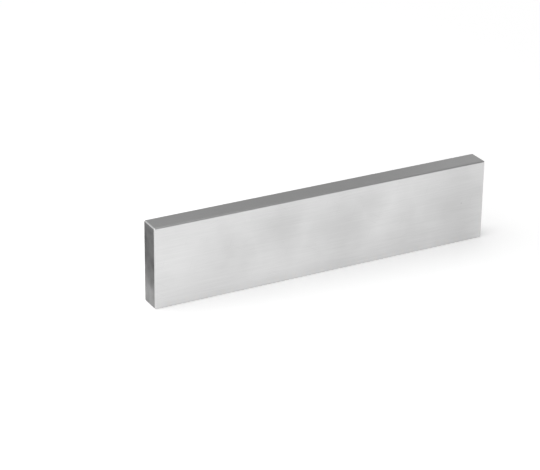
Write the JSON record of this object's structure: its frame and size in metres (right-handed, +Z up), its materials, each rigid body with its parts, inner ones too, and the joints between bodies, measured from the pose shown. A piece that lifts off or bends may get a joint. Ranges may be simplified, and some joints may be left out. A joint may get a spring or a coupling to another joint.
{
  "type": "precision parallel",
  "caption": "Plain rectangular ground steel bar with finely broken edges, for raising or spacing work at an exact height.",
  "frame": {"origin": "middle of the footprint, on the bottom narrow face that the bar stands on", "axes": "+X along the length, +Y through the thickness towards the back wide face, +Z up the height"},
  "size_m": [0.1524, 0.0096, 0.0349],
  "materials": {
    "ground_steel": "hardened tool steel, surface ground lengthwise, with stoned edges"
  },
  "bodies": {
    "root": {"parallel_bar": "ground_steel"}
  },
  "joints": []
}
